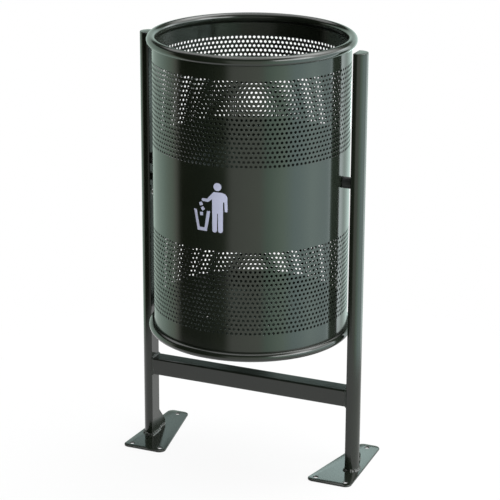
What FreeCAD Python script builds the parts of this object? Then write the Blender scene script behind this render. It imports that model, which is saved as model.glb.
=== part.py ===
"""Litter bin on a two-post frame: a round perforated bin that tips between its posts.

Millimetres. +Z is up, -Y is the front that carries the pictogram, and the tipping axis lies along X.
The origin is on the ground, on the axis of the round bin.
Parts that repeat on both sides are drawn on the right side (+X) and turned or mirrored to the left.
"""
import FreeCAD
import Part
import math
import os

V = FreeCAD.Vector

# --- bin -----------------------------------------------------------------------------------------
BODY_R = 190.0            # outside radius of the rolled sheet
SHEET_T = 1.5
RING_R = 191.0            # centre circle of the rim tubes
RING_TUBE_R = 9.0
RING_WALL = 1.5
TOP_RING_Z = 850.0
BOTTOM_RING_Z = 278.0
FLOOR_Z = 296.0           # lower edge of the bin's floor pan
FLOOR_T = 1.5
FLOOR_H = 6.0             # height of the pan's turned-down edge
DRAIN_R = 3.0
DRAIN_CIRCLE_R = 90.0
DRAIN_COUNT = 4

# --- tipping pivot -------------------------------------------------------------------------------
PIVOT_Z = 590.0
PIVOT_PLATE_SIZE = 60.0
PIVOT_PLATE_T = 3.0
PIVOT_PLATE_CORNER = 8.0
BUSH_R = 8.0              # sleeve through the sheet
BUSH_BORE_R = 6.05
BUSH_FLANGE_R = 12.0
BUSH_FLANGE_T = 2.0
SHOULDER_R = 6.0          # ground part of the pivot bolt
THREAD_R = 5.0
THREAD_LENGTH = 14.0
HEAD_R = 10.0
HEAD_H = 6.0
HEAD_ROUND = 2.5
SOCKET_FLATS = 8.0
SOCKET_DEPTH = 3.5
WASHER_R = 12.0
WASHER_T = 1.6
SPACER_R = 11.0
SPACER_GAP = 1.5          # spacer's end to the sheet
BOSS_R = 9.0
BOSS_LENGTH = 17.0
SIDE_PLAY = 0.3           # between parts that turn past each other
FIT_PLAY = 0.05           # round parts that sit fast in a hole

# --- posts and feet ------------------------------------------------------------------------------
POST_FLAT_X = 210.5       # the flat side, which faces the bin
POST_CENTRE = 6.4         # centre of the round side, beyond the flat
POST_R = 17.5
POST_WALL = 2.0
POST_EDGE_ROUND = 1.5
POST_TOP_Z = 841.0
CAP_T = 3.0
CAP_ROUND = 0.8
POST_X = POST_FLAT_X + POST_CENTRE

PLATE_T = 3.0
PLATE_FRONT_Y = -84.0
PLATE_BACK_Y = 121.0
PLATE_FRONT_IN = 64.0     # front corners, measured inwards and outwards from the post's axis
PLATE_FRONT_OUT = 30.0
PLATE_BACK_IN = 24.0
PLATE_BACK_OUT = 20.0
PLATE_CORNER = 13.0
ANCHOR_R = 4.5
FRONT_ANCHOR_Y = -67.0
FRONT_ANCHOR_X = 201.0    # middle of the two front holes
FRONT_ANCHOR_PITCH = 62.0
BACK_ANCHOR_Y = 106.0
BACK_ANCHOR_X = 212.5

GUSSET_T = 4.0
GUSSET_REACH = 52.0
GUSSET_H = 50.0
GUSSET_NOSE = 9.0

BAR_Y = 34.0
BAR_H = 35.0
BAR_Z = 155.5
BAR_WALL = 2.0
BAR_ROUND = 3.0

# --- quarter-turn lock and stop, on the left ------------------------------------------------------
LOCK_Z = 528.0
LOCK_FLANGE_R = 11.0
LOCK_FLANGE_T = 3.0
LOCK_FLANGE_X = 185.1
LOCK_SLEEVE_R = 8.0
LOCK_SLEEVE_END = 198.6
LOCK_HOLE_R = 8.1
LOCK_BORE_R = 4.55
SPINDLE_R = 4.5
SPINDLE_COLLAR_R = 5.9
COLLAR_POCKET_R = 6.2
COLLAR_POCKET_T = 2.0
KEY_R = 4.2               # corners of the three-sided key stud
NUT_FLATS = 22.0
NUT_T = 4.0
CAM_X = 199.0
CAM_T = 3.0
CAM_HUB_R = 8.0
CAM_WIDTH = 12.0
CAM_REACH = 26.0
CAM_SQUARE = 7.0
SCREW_R = 3.0
SCREW_HEAD_R = 5.5
SCREW_HEAD_H = 3.0
SCREW_LENGTH = 10.0
KEEPER_TIP_X = 195.0
KEEPER_Z = (542.0, 556.0)
KEEPER_Y = (8.0, 13.0)
STOP_Y = (13.5, 21.0)
STOP_Z = (543.0, 555.0)
STOP_TIP_X = 197.8

# --- pictogram: a person dropping litter into a basket, cut from thin film ------------------------
FILM_T = 0.3
FILM_GAP = 0.02
PICTO_Z = 569.0
HEAD_POINT = (14.5, 41.5)
HEAD_SIZE = 7.7
FIGURE = [(3.0, 27.0), (7.0, 31.0), (23.5, 31.0), (29.5, 29.0), (33.5, 23.0), (34.0, -4.0),
          (32.8, -5.6), (30.2, -5.8), (28.8, -4.6), (28.0, 13.0), (25.5, 13.0), (25.0, -43.5),
          (23.8, -46.0), (20.5, -47.2), (17.1, -46.0), (15.9, -43.5), (15.5, -10.0), (13.9, -10.0),
          (13.5, -43.5), (12.3, -46.0), (8.9, -47.2), (5.6, -46.0), (4.4, -43.5), (4.0, 17.0),
          (-4.5, 10.5), (-16.3, 11.3), (-17.6, 13.0), (-17.3, 15.6), (-16.0, 16.6), (-6.0, 16.8)]
BASKET = [(-34.5, -6.0), (-28.5, -7.0), (-22.3, -40.0), (-11.8, -40.0), (-6.5, -7.5), (0.0, -6.5),
          (-7.0, -46.5), (-26.5, -46.5)]
LITTER = [(-19.2, 5.3, 20.0), (-15.2, -3.4, 35.0), (-18.0, -13.8, 5.0)]
LITTER_SIZE = 6.5


def cylinder_x(radius, x_low, x_high, y=0.0, z=0.0):
    """Cylinder whose axis runs along X from x_low to x_high."""
    return Part.makeCylinder(radius, x_high - x_low, V(x_low, y, z), V(1, 0, 0))


def box(x, y, z):
    """Box between the two limits given for each axis."""
    return Part.makeBox(x[1] - x[0], y[1] - y[0], z[1] - z[0], V(x[0], y[0], z[0]))


def prism(points, direction):
    """Solid made by moving a closed polygon along a direction."""
    wire = Part.makePolygon([V(*p) for p in points + points[:1]])
    return Part.Face(wire).extrude(V(*direction))


def shell(outer_r, thickness, z_low, z_high):
    """Upright tube about the bin's axis."""
    outer = Part.makeCylinder(outer_r, z_high - z_low, V(0, 0, z_low))
    return outer.cut(Part.makeCylinder(outer_r - thickness, z_high - z_low, V(0, 0, z_low)))


def edges_along(shape, direction):
    """Straight edges of a shape that run along a direction."""
    found = []
    for edge in shape.Edges:
        if edge.Curve.TypeId != "Part::GeomLine":
            continue
        if abs(edge.tangentAt(edge.FirstParameter).dot(direction)) > 0.999:
            found.append(edge)
    return found


def to_left(shape):
    """The same part turned half a turn about the bin's axis."""
    turned = shape.copy()
    turned.rotate(V(0, 0, 0), V(0, 0, 1), 180)
    return turned


def mirrored(shape):
    """The opposite-hand part for the left side."""
    return shape.mirror(V(0, 0, 0), V(1, 0, 0))


def pair(shape):
    """Right and left copies of one part, as two solids."""
    return Part.makeCompound([shape, to_left(shape)])


def d_prism(inset, z_low, z_high):
    """D-shaped bar: a round bar cut flat on the side that faces the bin."""
    radius = POST_R - inset
    bar = Part.makeCylinder(radius, z_high - z_low, V(POST_X, 0, z_low))
    flat = POST_FLAT_X + inset
    bar = bar.cut(box((flat - radius, flat), (-radius, radius), (z_low, z_high)))
    corners = [e for e in edges_along(bar, V(0, 0, 1)) if abs(e.Vertexes[0].Y) > 1.0]
    return bar.makeFillet(POST_EDGE_ROUND, corners)


def make_post():
    """Hollow post with the hole that takes the pivot boss."""
    tube = d_prism(0.0, PLATE_T, POST_TOP_Z).cut(d_prism(POST_WALL, PLATE_T, POST_TOP_Z))
    inside = POST_FLAT_X + POST_WALL + 1
    return tube.cut(cylinder_x(BOSS_R + FIT_PLAY, POST_FLAT_X - 1, inside, z=PIVOT_Z))


def make_cap():
    """Flat lid welded on the post's top."""
    cap = d_prism(0.0, POST_TOP_Z, POST_TOP_Z + CAP_T)
    rim = [e for e in cap.Edges if min(v.Z for v in e.Vertexes) > POST_TOP_Z + CAP_T - 0.01]
    return cap.makeFillet(CAP_ROUND, rim)


def make_base_plate():
    """Foot plate, wide at the front, with three anchor holes."""
    corners = [(POST_X - PLATE_FRONT_IN, PLATE_FRONT_Y), (POST_X + PLATE_FRONT_OUT, PLATE_FRONT_Y),
               (POST_X + PLATE_BACK_OUT, PLATE_BACK_Y), (POST_X - PLATE_BACK_IN, PLATE_BACK_Y)]
    plate = prism([(x, y, 0) for x, y in corners], (0, 0, PLATE_T))
    plate = plate.makeFillet(PLATE_CORNER, edges_along(plate, V(0, 0, 1)))
    half = FRONT_ANCHOR_PITCH / 2
    anchors = [(FRONT_ANCHOR_X - half, FRONT_ANCHOR_Y), (FRONT_ANCHOR_X + half, FRONT_ANCHOR_Y),
               (BACK_ANCHOR_X, BACK_ANCHOR_Y)]
    for x, y in anchors:
        plate = plate.cut(Part.makeCylinder(ANCHOR_R, PLATE_T, V(x, y, 0)))
    return plate


def make_gusset():
    """Triangular rib behind the foot of the post."""
    x = POST_X - GUSSET_T / 2
    outline = [(x, 0, PLATE_T), (x, GUSSET_REACH, PLATE_T), (x, GUSSET_REACH, PLATE_T + GUSSET_NOSE),
               (x, POST_R, PLATE_T + GUSSET_H), (x, 0, PLATE_T + GUSSET_H)]
    rib = prism(outline, (GUSSET_T, 0, 0))
    return rib.cut(d_prism(0.0, 0.0, PLATE_T + GUSSET_H + 1))


def make_crossbar():
    """Hollow bar between the flat sides of the posts."""
    low, high = BAR_Z - BAR_H / 2, BAR_Z + BAR_H / 2
    half = BAR_Y / 2
    bar = box((-POST_FLAT_X, POST_FLAT_X), (-half, half), (low, high))
    bar = bar.makeFillet(BAR_ROUND, edges_along(bar, V(1, 0, 0)))
    hollow = box((-POST_FLAT_X, POST_FLAT_X), (BAR_WALL - half, half - BAR_WALL),
                 (low + BAR_WALL, high - BAR_WALL))
    return bar.cut(hollow)


def rim_tube(z, inset=0.0):
    """Solid ring of the rim tube's size; an inset gives its hollow."""
    return Part.makeTorus(RING_R, RING_TUBE_R - inset, V(0, 0, z))


def make_rim(z):
    """Hollow rim ring, bent from tube."""
    return rim_tube(z).cut(rim_tube(z, RING_WALL))


def make_body_sheet():
    """Rolled sheet between the two rims, with its pivot and lock holes."""
    sheet = shell(BODY_R, SHEET_T, BOTTOM_RING_Z, TOP_RING_Z)
    sheet = sheet.cut(rim_tube(TOP_RING_Z)).cut(rim_tube(BOTTOM_RING_Z))
    for side in (1, -1):
        near, far = sorted((side * (BODY_R - 20), side * (BODY_R + 20)))
        sheet = sheet.cut(cylinder_x(BUSH_R + FIT_PLAY, near, far, z=PIVOT_Z))
    sheet = sheet.cut(cylinder_x(LOCK_HOLE_R, -BODY_R - 20, 20 - BODY_R, z=LOCK_Z))
    return max(sheet.Solids, key=lambda solid: solid.Volume)


def make_floor_pan():
    """Floor of the bin: a disc with a turned-down edge and drain holes."""
    radius = BODY_R - SHEET_T - FIT_PLAY
    pan = Part.makeCylinder(radius, FLOOR_H, V(0, 0, FLOOR_Z))
    pan = pan.cut(Part.makeCylinder(radius - FLOOR_T, FLOOR_H - FLOOR_T, V(0, 0, FLOOR_Z)))
    drains = [V(0, 0, FLOOR_Z)]
    for k in range(DRAIN_COUNT):
        angle = 2 * math.pi * (k + 0.5) / DRAIN_COUNT
        drains.append(V(DRAIN_CIRCLE_R * math.cos(angle), DRAIN_CIRCLE_R * math.sin(angle), FLOOR_Z))
    for centre in drains:
        pan = pan.cut(Part.makeCylinder(DRAIN_R, FLOOR_H, centre))
    return pan


def make_pivot_plate():
    """Curved plate that stiffens the sheet round the pivot hole."""
    half = PIVOT_PLATE_SIZE / 2
    block = box((BODY_R - 40, BODY_R), (-half, half), (PIVOT_Z - half, PIVOT_Z + half))
    block = block.makeFillet(PIVOT_PLATE_CORNER, edges_along(block, V(1, 0, 0)))
    plate = shell(BODY_R - SHEET_T, PIVOT_PLATE_T, PIVOT_Z - half, PIVOT_Z + half).common(block)
    return plate.cut(cylinder_x(BUSH_R + FIT_PLAY, BODY_R - 40, BODY_R, z=PIVOT_Z))


def bush_flange_face():
    """X of the bush flange where it lies on the curved pivot plate."""
    inner = BODY_R - SHEET_T - PIVOT_PLATE_T
    return math.sqrt(inner ** 2 - BUSH_FLANGE_R ** 2)


def make_bush():
    """Flanged plastic bush, held in the bin, that turns on the pivot bolt."""
    face = bush_flange_face()
    sleeve = cylinder_x(BUSH_R, face, BODY_R + 1.0, z=PIVOT_Z)
    flange = cylinder_x(BUSH_FLANGE_R, face - BUSH_FLANGE_T, face, z=PIVOT_Z)
    return sleeve.fuse(flange).cut(cylinder_x(BUSH_BORE_R, face - 10, BODY_R + 10, z=PIVOT_Z))


def washer_span():
    """X limits of the washer between the bush and the bolt's head."""
    outer = bush_flange_face() - BUSH_FLANGE_T - SIDE_PLAY
    return outer - WASHER_T, outer


def make_washer():
    """Washer under the pivot bolt's head."""
    low, high = washer_span()
    washer = cylinder_x(WASHER_R, low, high, z=PIVOT_Z)
    return washer.cut(cylinder_x(BUSH_BORE_R, low, high, z=PIVOT_Z))


def make_pivot_bolt():
    """Shoulder bolt, put in from inside the bin and screwed into the post."""
    seat = washer_span()[0]
    head = cylinder_x(HEAD_R, seat - HEAD_H, seat, z=PIVOT_Z)
    rim = [e for e in head.Edges if max(v.X for v in e.Vertexes) < seat - HEAD_H + 0.01
           and e.Curve.TypeId == "Part::GeomCircle"]
    head = head.makeFillet(HEAD_ROUND, rim)
    corner = SOCKET_FLATS / math.sqrt(3)
    socket = []
    for k in range(6):
        angle = math.pi * k / 3
        socket.append((seat - HEAD_H, corner * math.cos(angle), PIVOT_Z + corner * math.sin(angle)))
    head = head.cut(prism(socket, (SOCKET_DEPTH, 0, 0)))
    shank = cylinder_x(SHOULDER_R, seat, POST_FLAT_X, z=PIVOT_Z)
    thread = cylinder_x(THREAD_R, POST_FLAT_X, POST_FLAT_X + THREAD_LENGTH, z=PIVOT_Z)
    return head.fuse(shank).fuse(thread).removeSplitter()


def make_spacer():
    """Black plastic sleeve that keeps the bin off the post."""
    low = BODY_R + SPACER_GAP
    sleeve = cylinder_x(SPACER_R, low, POST_FLAT_X, z=PIVOT_Z)
    return sleeve.cut(cylinder_x(BUSH_BORE_R, low, POST_FLAT_X, z=PIVOT_Z))


def make_boss():
    """Threaded boss welded into the post's flat side."""
    boss = cylinder_x(BOSS_R, POST_FLAT_X, POST_FLAT_X + BOSS_LENGTH, z=PIVOT_Z)
    bore = cylinder_x(THREAD_R + FIT_PLAY, POST_FLAT_X, POST_FLAT_X + BOSS_LENGTH, z=PIVOT_Z)
    return boss.cut(bore)


def make_lock_barrel():
    """Sleeve of the lock, put through the sheet from inside."""
    flange = cylinder_x(LOCK_FLANGE_R, LOCK_FLANGE_X, LOCK_FLANGE_X + LOCK_FLANGE_T, z=LOCK_Z)
    sleeve = cylinder_x(LOCK_SLEEVE_R, LOCK_FLANGE_X, LOCK_SLEEVE_END, z=LOCK_Z)
    barrel = flange.fuse(sleeve).removeSplitter()
    pocket = cylinder_x(COLLAR_POCKET_R, LOCK_FLANGE_X, LOCK_FLANGE_X + COLLAR_POCKET_T, z=LOCK_Z)
    return barrel.cut(pocket).cut(cylinder_x(LOCK_BORE_R, LOCK_FLANGE_X, LOCK_SLEEVE_END, z=LOCK_Z))


def make_lock_nut():
    """Hexagon nut that clamps the lock's sleeve to the sheet."""
    x = BODY_R + 0.1
    corner = NUT_FLATS / math.sqrt(3)
    outline = []
    for k in range(6):
        angle = math.pi * (k + 0.5) / 3
        outline.append((x, corner * math.cos(angle), LOCK_Z + corner * math.sin(angle)))
    nut = prism(outline, (NUT_T, 0, 0))
    return nut.cut(cylinder_x(LOCK_SLEEVE_R + FIT_PLAY, x, x + NUT_T, z=LOCK_Z))


def make_spindle():
    """Spindle of the lock: three-sided key stud, collar, round body and square end."""
    collar_low = LOCK_FLANGE_X + SIDE_PLAY
    collar_high = LOCK_FLANGE_X + COLLAR_POCKET_T - 0.1
    stud = []
    for k in range(3):
        angle = math.pi / 2 + 2 * math.pi * k / 3
        stud.append((collar_low - 3.0, KEY_R * math.cos(angle), LOCK_Z + KEY_R * math.sin(angle)))
    spindle = prism(stud, (3.0, 0, 0))
    spindle = spindle.fuse(cylinder_x(SPINDLE_COLLAR_R, collar_low, collar_high, z=LOCK_Z))
    spindle = spindle.fuse(cylinder_x(SPINDLE_R, collar_high, CAM_X, z=LOCK_Z))
    half = CAM_SQUARE / 2
    square = box((CAM_X, CAM_X + CAM_T), (-half, half), (LOCK_Z - half, LOCK_Z + half))
    spindle = spindle.fuse(square.common(cylinder_x(SPINDLE_R, CAM_X, CAM_X + CAM_T, z=LOCK_Z)))
    end = CAM_X + CAM_T
    return spindle.removeSplitter().cut(cylinder_x(SCREW_R + FIT_PLAY, end - SCREW_LENGTH - 0.5, end,
                                                   z=LOCK_Z))


def make_cam():
    """Flat tongue of the lock, drawn open: it points to the front."""
    end = CAM_X + CAM_T
    hub = cylinder_x(CAM_HUB_R, CAM_X, end, z=LOCK_Z)
    half = CAM_WIDTH / 2
    tongue = box((CAM_X, end), (half - CAM_REACH, 0), (LOCK_Z - half, LOCK_Z + half))
    tip = cylinder_x(half, CAM_X, end, y=half - CAM_REACH, z=LOCK_Z)
    cam = hub.fuse(tongue).fuse(tip).removeSplitter()
    hole = CAM_SQUARE / 2 + FIT_PLAY
    square = box((CAM_X, end), (-hole, hole), (LOCK_Z - hole, LOCK_Z + hole))
    return cam.cut(square.common(cylinder_x(SPINDLE_R + FIT_PLAY, CAM_X, end, z=LOCK_Z)))


def make_cam_screw():
    """Screw that holds the cam on the spindle."""
    end = CAM_X + CAM_T
    head = cylinder_x(SCREW_HEAD_R, end, end + SCREW_HEAD_H, z=LOCK_Z)
    slot = box((end + 1.5, end + SCREW_HEAD_H), (-SCREW_HEAD_R, SCREW_HEAD_R),
               (LOCK_Z - 0.75, LOCK_Z + 0.75))
    return head.cut(slot).fuse(cylinder_x(SCREW_R, end - SCREW_LENGTH, end, z=LOCK_Z)).removeSplitter()


def make_keeper():
    """Lug welded on the post: the cam's tongue and the stop block both bear on it."""
    return box((KEEPER_TIP_X, POST_FLAT_X), KEEPER_Y, KEEPER_Z)


def make_stop():
    """Block welded on the bin that meets the keeper when the bin hangs upright."""
    block = box((BODY_R - 10, STOP_TIP_X), STOP_Y, STOP_Z)
    return block.cut(Part.makeCylinder(BODY_R, STOP_Z[1], V(0, 0, 0)))


def film(outline):
    """Thin film of a flat outline, wrapped on the front of the sheet.

    The outline's first number is the distance along the sheet, its second the height.
    """
    inner = BODY_R + FILM_GAP
    points = []
    for along, up in outline:
        x = BODY_R * math.sin(along / BODY_R)
        points.append((x, -BODY_R - 5, PICTO_Z + up))
    cutter = prism(points, (0, 20, 0))
    return shell(inner + FILM_T, FILM_T, PICTO_Z - 60, PICTO_Z + 60).common(cutter)


def make_pictogram():
    """Film pictogram: head, figure, basket and three scraps of litter."""
    head = []
    for k in range(40):
        angle = 2 * math.pi * k / 40
        head.append((HEAD_POINT[0] + HEAD_SIZE * math.cos(angle), HEAD_POINT[1] + HEAD_SIZE * math.sin(angle)))
    outlines = [head, FIGURE, BASKET]
    for x, y, turn in LITTER:
        scrap = []
        for k in range(4):
            angle = math.radians(turn + 45 + 90 * k)
            reach = LITTER_SIZE / math.sqrt(2)
            scrap.append((x + reach * math.cos(angle), y + reach * math.sin(angle)))
        outlines.append(scrap)
    pieces = []
    for outline in outlines:
        pieces.extend(film(outline).Solids)
    return Part.makeCompound(pieces)


def build():
    """Every sub-part of the bin, by name."""
    post = make_post()
    plate = make_base_plate()
    return {
        "right_post": post,
        "left_post": to_left(post),
        "post_caps": pair(make_cap()),
        "right_base_plate": plate,
        "left_base_plate": mirrored(plate),
        "foot_gussets": Part.makeCompound([make_gusset(), mirrored(make_gusset())]),
        "crossbar": make_crossbar(),
        "pivot_bosses": pair(make_boss()),
        "pivot_spacers": pair(make_spacer()),
        "pivot_bolts": pair(make_pivot_bolt()),
        "pivot_washers": pair(make_washer()),
        "lock_keeper": mirrored(make_keeper()),
        "body_sheet": make_body_sheet(),
        "top_ring": make_rim(TOP_RING_Z),
        "bottom_ring": make_rim(BOTTOM_RING_Z),
        "floor_pan": make_floor_pan(),
        "pivot_plates": pair(make_pivot_plate()),
        "pivot_bushes": pair(make_bush()),
        "stop_block": mirrored(make_stop()),
        "lock_barrel": mirrored(make_lock_barrel()),
        "lock_nut": mirrored(make_lock_nut()),
        "lock_spindle": mirrored(make_spindle()),
        "lock_cam": mirrored(make_cam()),
        "lock_cam_screw": mirrored(make_cam_screw()),
        "pictogram": make_pictogram(),
    }


os.makedirs("parts", exist_ok=True)
for node, shape in build().items():
    shape.exportStep("parts/" + node + ".step")
    bounds = shape.BoundBox
    print(node, len(shape.Solids), "solids, valid", shape.isValid(),
          [round(v, 1) for v in (bounds.XMin, bounds.XMax, bounds.YMin, bounds.YMax, bounds.ZMin, bounds.ZMax)])
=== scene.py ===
"""Looks of a litter bin that tips between two posts: perforated sheet, tube rims and a welded frame.

Metres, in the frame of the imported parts: +Z up, the pictogram to the front (-Y), tipping axis along X.
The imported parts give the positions. Added here are the perforation, rounded plate edges, lids with a
seam, weld beads and every finish.
"""

import logging
import math
from dataclasses import dataclass
from enum import Enum
from typing import Any, Sequence

import bpy
import numpy as np
from mathutils import Matrix, Vector
from mathutils.geometry import tessellate_polygon


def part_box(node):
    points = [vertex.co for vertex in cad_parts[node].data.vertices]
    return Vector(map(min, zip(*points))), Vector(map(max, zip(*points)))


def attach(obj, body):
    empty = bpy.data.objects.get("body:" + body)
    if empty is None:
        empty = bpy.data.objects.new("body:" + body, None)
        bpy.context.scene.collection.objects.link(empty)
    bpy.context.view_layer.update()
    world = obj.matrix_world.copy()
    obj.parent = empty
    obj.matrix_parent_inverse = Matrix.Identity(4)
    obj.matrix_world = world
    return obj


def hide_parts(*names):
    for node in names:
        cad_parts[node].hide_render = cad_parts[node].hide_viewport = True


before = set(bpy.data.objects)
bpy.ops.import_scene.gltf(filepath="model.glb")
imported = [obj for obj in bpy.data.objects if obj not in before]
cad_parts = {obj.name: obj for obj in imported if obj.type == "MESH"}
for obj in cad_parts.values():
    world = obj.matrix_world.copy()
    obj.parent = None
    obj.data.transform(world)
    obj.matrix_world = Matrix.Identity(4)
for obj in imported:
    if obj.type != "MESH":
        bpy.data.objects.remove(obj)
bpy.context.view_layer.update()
LOG = logging.getLogger("litter_bin")
Colour = tuple[float, float, float]


class Body(Enum):
    """The bodies that new pieces move with."""

    FRAME = "frame"
    BIN = "bin"


class Slot(Enum):
    """The finishes of the record."""

    FRAME_COATING = "frame_coating"
    BIN_COATING = "bin_coating"
    ZINC_STEEL = "zinc_steel"
    BLACK_NYLON = "black_nylon"
    PALE_FILM = "pale_film"


# --- surfaces ---------------------------------------------------------------------------------------


@dataclass
class Surface:
    """Points with the four- and three-sided faces between them."""

    points: np.ndarray
    quads: np.ndarray
    triangles: np.ndarray

    def volume(self) -> float:
        """Volume inside the faces: a sixth of the triple product of each triangle's corners, added up."""
        corners = np.concatenate([self.quads[:, [0, 1, 2]], self.quads[:, [0, 2, 3]], self.triangles])
        a, b, c = (self.points[corners[:, k]] for k in range(3))
        return float(np.einsum("ij,ij->i", a, np.cross(b, c)).sum() / 6.0)

    def outward(self) -> "Surface":
        """The same surface with its faces turned to look outwards."""
        if self.volume() >= 0.0:
            return self
        return Surface(self.points, self.quads[:, ::-1], self.triangles[:, ::-1])

    def mirrored(self) -> "Surface":
        """The opposite-hand surface, X turned to -X."""
        return Surface(self.points * (-1.0, 1.0, 1.0), self.quads, self.triangles).outward()

    def turned(self) -> "Surface":
        """The surface turned half a turn about the bin's axis."""
        return Surface(self.points * (-1.0, -1.0, 1.0), self.quads, self.triangles)


def merged(parts: Sequence[Surface]) -> Surface:
    """Several surfaces as one.

    Args:
        parts: the surfaces.

    Returns:
        One surface, with the faces of each part counted on from the points of those before it.
    """
    firsts = np.cumsum([0] + [len(part.points) for part in parts[:-1]])
    return Surface(
        np.concatenate([part.points for part in parts]),
        np.concatenate([part.quads + first for part, first in zip(parts, firsts)]),
        np.concatenate([part.triangles + first for part, first in zip(parts, firsts)]),
    )


def grid_quads(rows: int, columns: int, rows_close: bool, columns_close: bool) -> np.ndarray:
    """Faces of a grid of points stored row by row.

    Args:
        rows: number of rows.
        columns: number of points in a row.
        rows_close: whether the last row joins the first.
        columns_close: whether each row's last point joins its first.

    Returns:
        Four point numbers per face.
    """
    j, i = np.meshgrid(np.arange(rows if rows_close else rows - 1),
                       np.arange(columns if columns_close else columns - 1), indexing="ij")
    j, i = j.ravel(), i.ravel()
    right, up = (i + 1) % columns, (j + 1) % rows
    return np.stack([j * columns + i, j * columns + right, up * columns + right, up * columns + i], 1)


def tube(points: np.ndarray, closed: bool) -> Surface:
    """Closed surface over rows of section points.

    Args:
        points: rows of points, each row once round the section.
        closed: whether the last row joins the first; if not, each end closes on its own middle.

    Returns:
        The surface, its faces outwards.
    """
    rows, columns = points.shape[:2]
    flat = points.reshape(-1, 3)
    quads = grid_quads(rows, columns, closed, True)
    if closed:
        return Surface(flat, quads, np.zeros((0, 3), int)).outward()
    ring = np.arange(columns)
    onward = (ring + 1) % columns
    last = (rows - 1) * columns
    near, far = (np.full(columns, len(flat) + k) for k in (0, 1))
    triangles = np.concatenate([np.stack([onward, ring, near], 1),
                                np.stack([last + ring, last + onward, far], 1)])
    ends = np.stack([flat[:columns].mean(0), flat[-columns:].mean(0)])
    return Surface(np.concatenate([flat, ends]), quads, triangles).outward()


def spokes(angle: np.ndarray) -> np.ndarray:
    """Flat directions at those angles: their cosines and sines."""
    return np.stack([np.cos(angle), np.sin(angle)], -1)


def linked(name: str, data: bpy.types.ID) -> bpy.types.Object:
    """A new object of the scene, at the origin."""
    thing = bpy.data.objects.new(name, data)
    bpy.context.scene.collection.objects.link(thing)
    return thing


def add_piece(name: str, surface: Surface, body: Body, slot: Slot, material: bpy.types.Material,
              stands_for: Sequence[str] = (), crease: float = 35.0) -> bpy.types.Object:
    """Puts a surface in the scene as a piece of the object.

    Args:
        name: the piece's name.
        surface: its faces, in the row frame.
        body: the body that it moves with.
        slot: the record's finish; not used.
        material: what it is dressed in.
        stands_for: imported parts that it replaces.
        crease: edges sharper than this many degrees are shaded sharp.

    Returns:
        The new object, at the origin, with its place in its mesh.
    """
    mesh = bpy.data.meshes.new(name)
    mesh.from_pydata(surface.points.tolist(), [], surface.quads.tolist() + surface.triangles.tolist())
    mesh.validate()
    mesh.shade_smooth()
    mesh.set_sharp_from_angle(angle=math.radians(crease))
    mesh.materials.append(material)
    piece = linked(name, mesh)
    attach(piece, body.value)
    if stands_for:
        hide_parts(*stands_for)
    LOG.info("%s: %d faces, rides on %s", name, len(mesh.polygons), body.value)
    return piece


# --- outlines and slabs -----------------------------------------------------------------------------


@dataclass
class Loop:
    """Closed flat outline: points, and at each point the direction out of the material."""

    points: np.ndarray
    normals: np.ndarray

    def spaced(self, pitch: float) -> "Loop":
        """The same outline with points at even distances.

        Args:
            pitch: distance between points, about.

        Returns:
            The outline, its points and normals read off along its length.
        """
        ends = np.roll(self.points, -1, 0)
        lengths = np.concatenate([[0.0], np.cumsum(np.linalg.norm(ends - self.points, axis=1))])
        places = np.linspace(0.0, lengths[-1], max(8, round(lengths[-1] / pitch)), endpoint=False)
        around = np.concatenate([self.points, self.points[:1]])
        out = np.concatenate([self.normals, self.normals[:1]])
        points = np.stack([np.interp(places, lengths, around[:, k]) for k in (0, 1)], 1)
        normals = np.stack([np.interp(places, lengths, out[:, k]) for k in (0, 1)], 1)
        return Loop(points, normals / np.linalg.norm(normals, axis=1, keepdims=True))


def rounded_polygon(corners: Sequence[tuple[float, float]], radius: float, steps: int = 8) -> Loop:
    """Convex polygon with rounded corners.

    At each corner the arc's centre lies back from the corner by the radius times the sum of the two
    sides' normals over one plus their dot product, and the arc turns from one normal to the other.

    Args:
        corners: the corners, anticlockwise.
        radius: radius of the corners.
        steps: points on each arc, less one.

    Returns:
        The outline.
    """
    corner = np.asarray(corners, float)
    side = np.roll(corner, -1, 0) - corner
    side /= np.linalg.norm(side, axis=1, keepdims=True)
    after = np.stack([side[:, 1], -side[:, 0]], 1)
    before = np.roll(after, 1, 0)
    dot = (after * before).sum(1, keepdims=True)
    centre = corner - radius * (after + before) / (1.0 + dot)
    start = np.arctan2(before[:, 1], before[:, 0])[:, None]
    turn = np.arccos(np.clip(dot, -1.0, 1.0))
    angle = start + turn * np.linspace(0.0, 1.0, steps + 1)[None, :]
    normals = spokes(angle)
    points = centre[:, None, :] + radius * normals
    return Loop(points.reshape(-1, 2), normals.reshape(-1, 2))


def round_hole(x: float, y: float, radius: float, steps: int = 40) -> Loop:
    """Round hole, with its normals towards its centre."""
    angle = np.linspace(0.0, 2.0 * math.pi, steps, endpoint=False)
    spoke = spokes(angle)
    return Loop(np.array([x, y]) + radius * spoke, -spoke)


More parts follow.
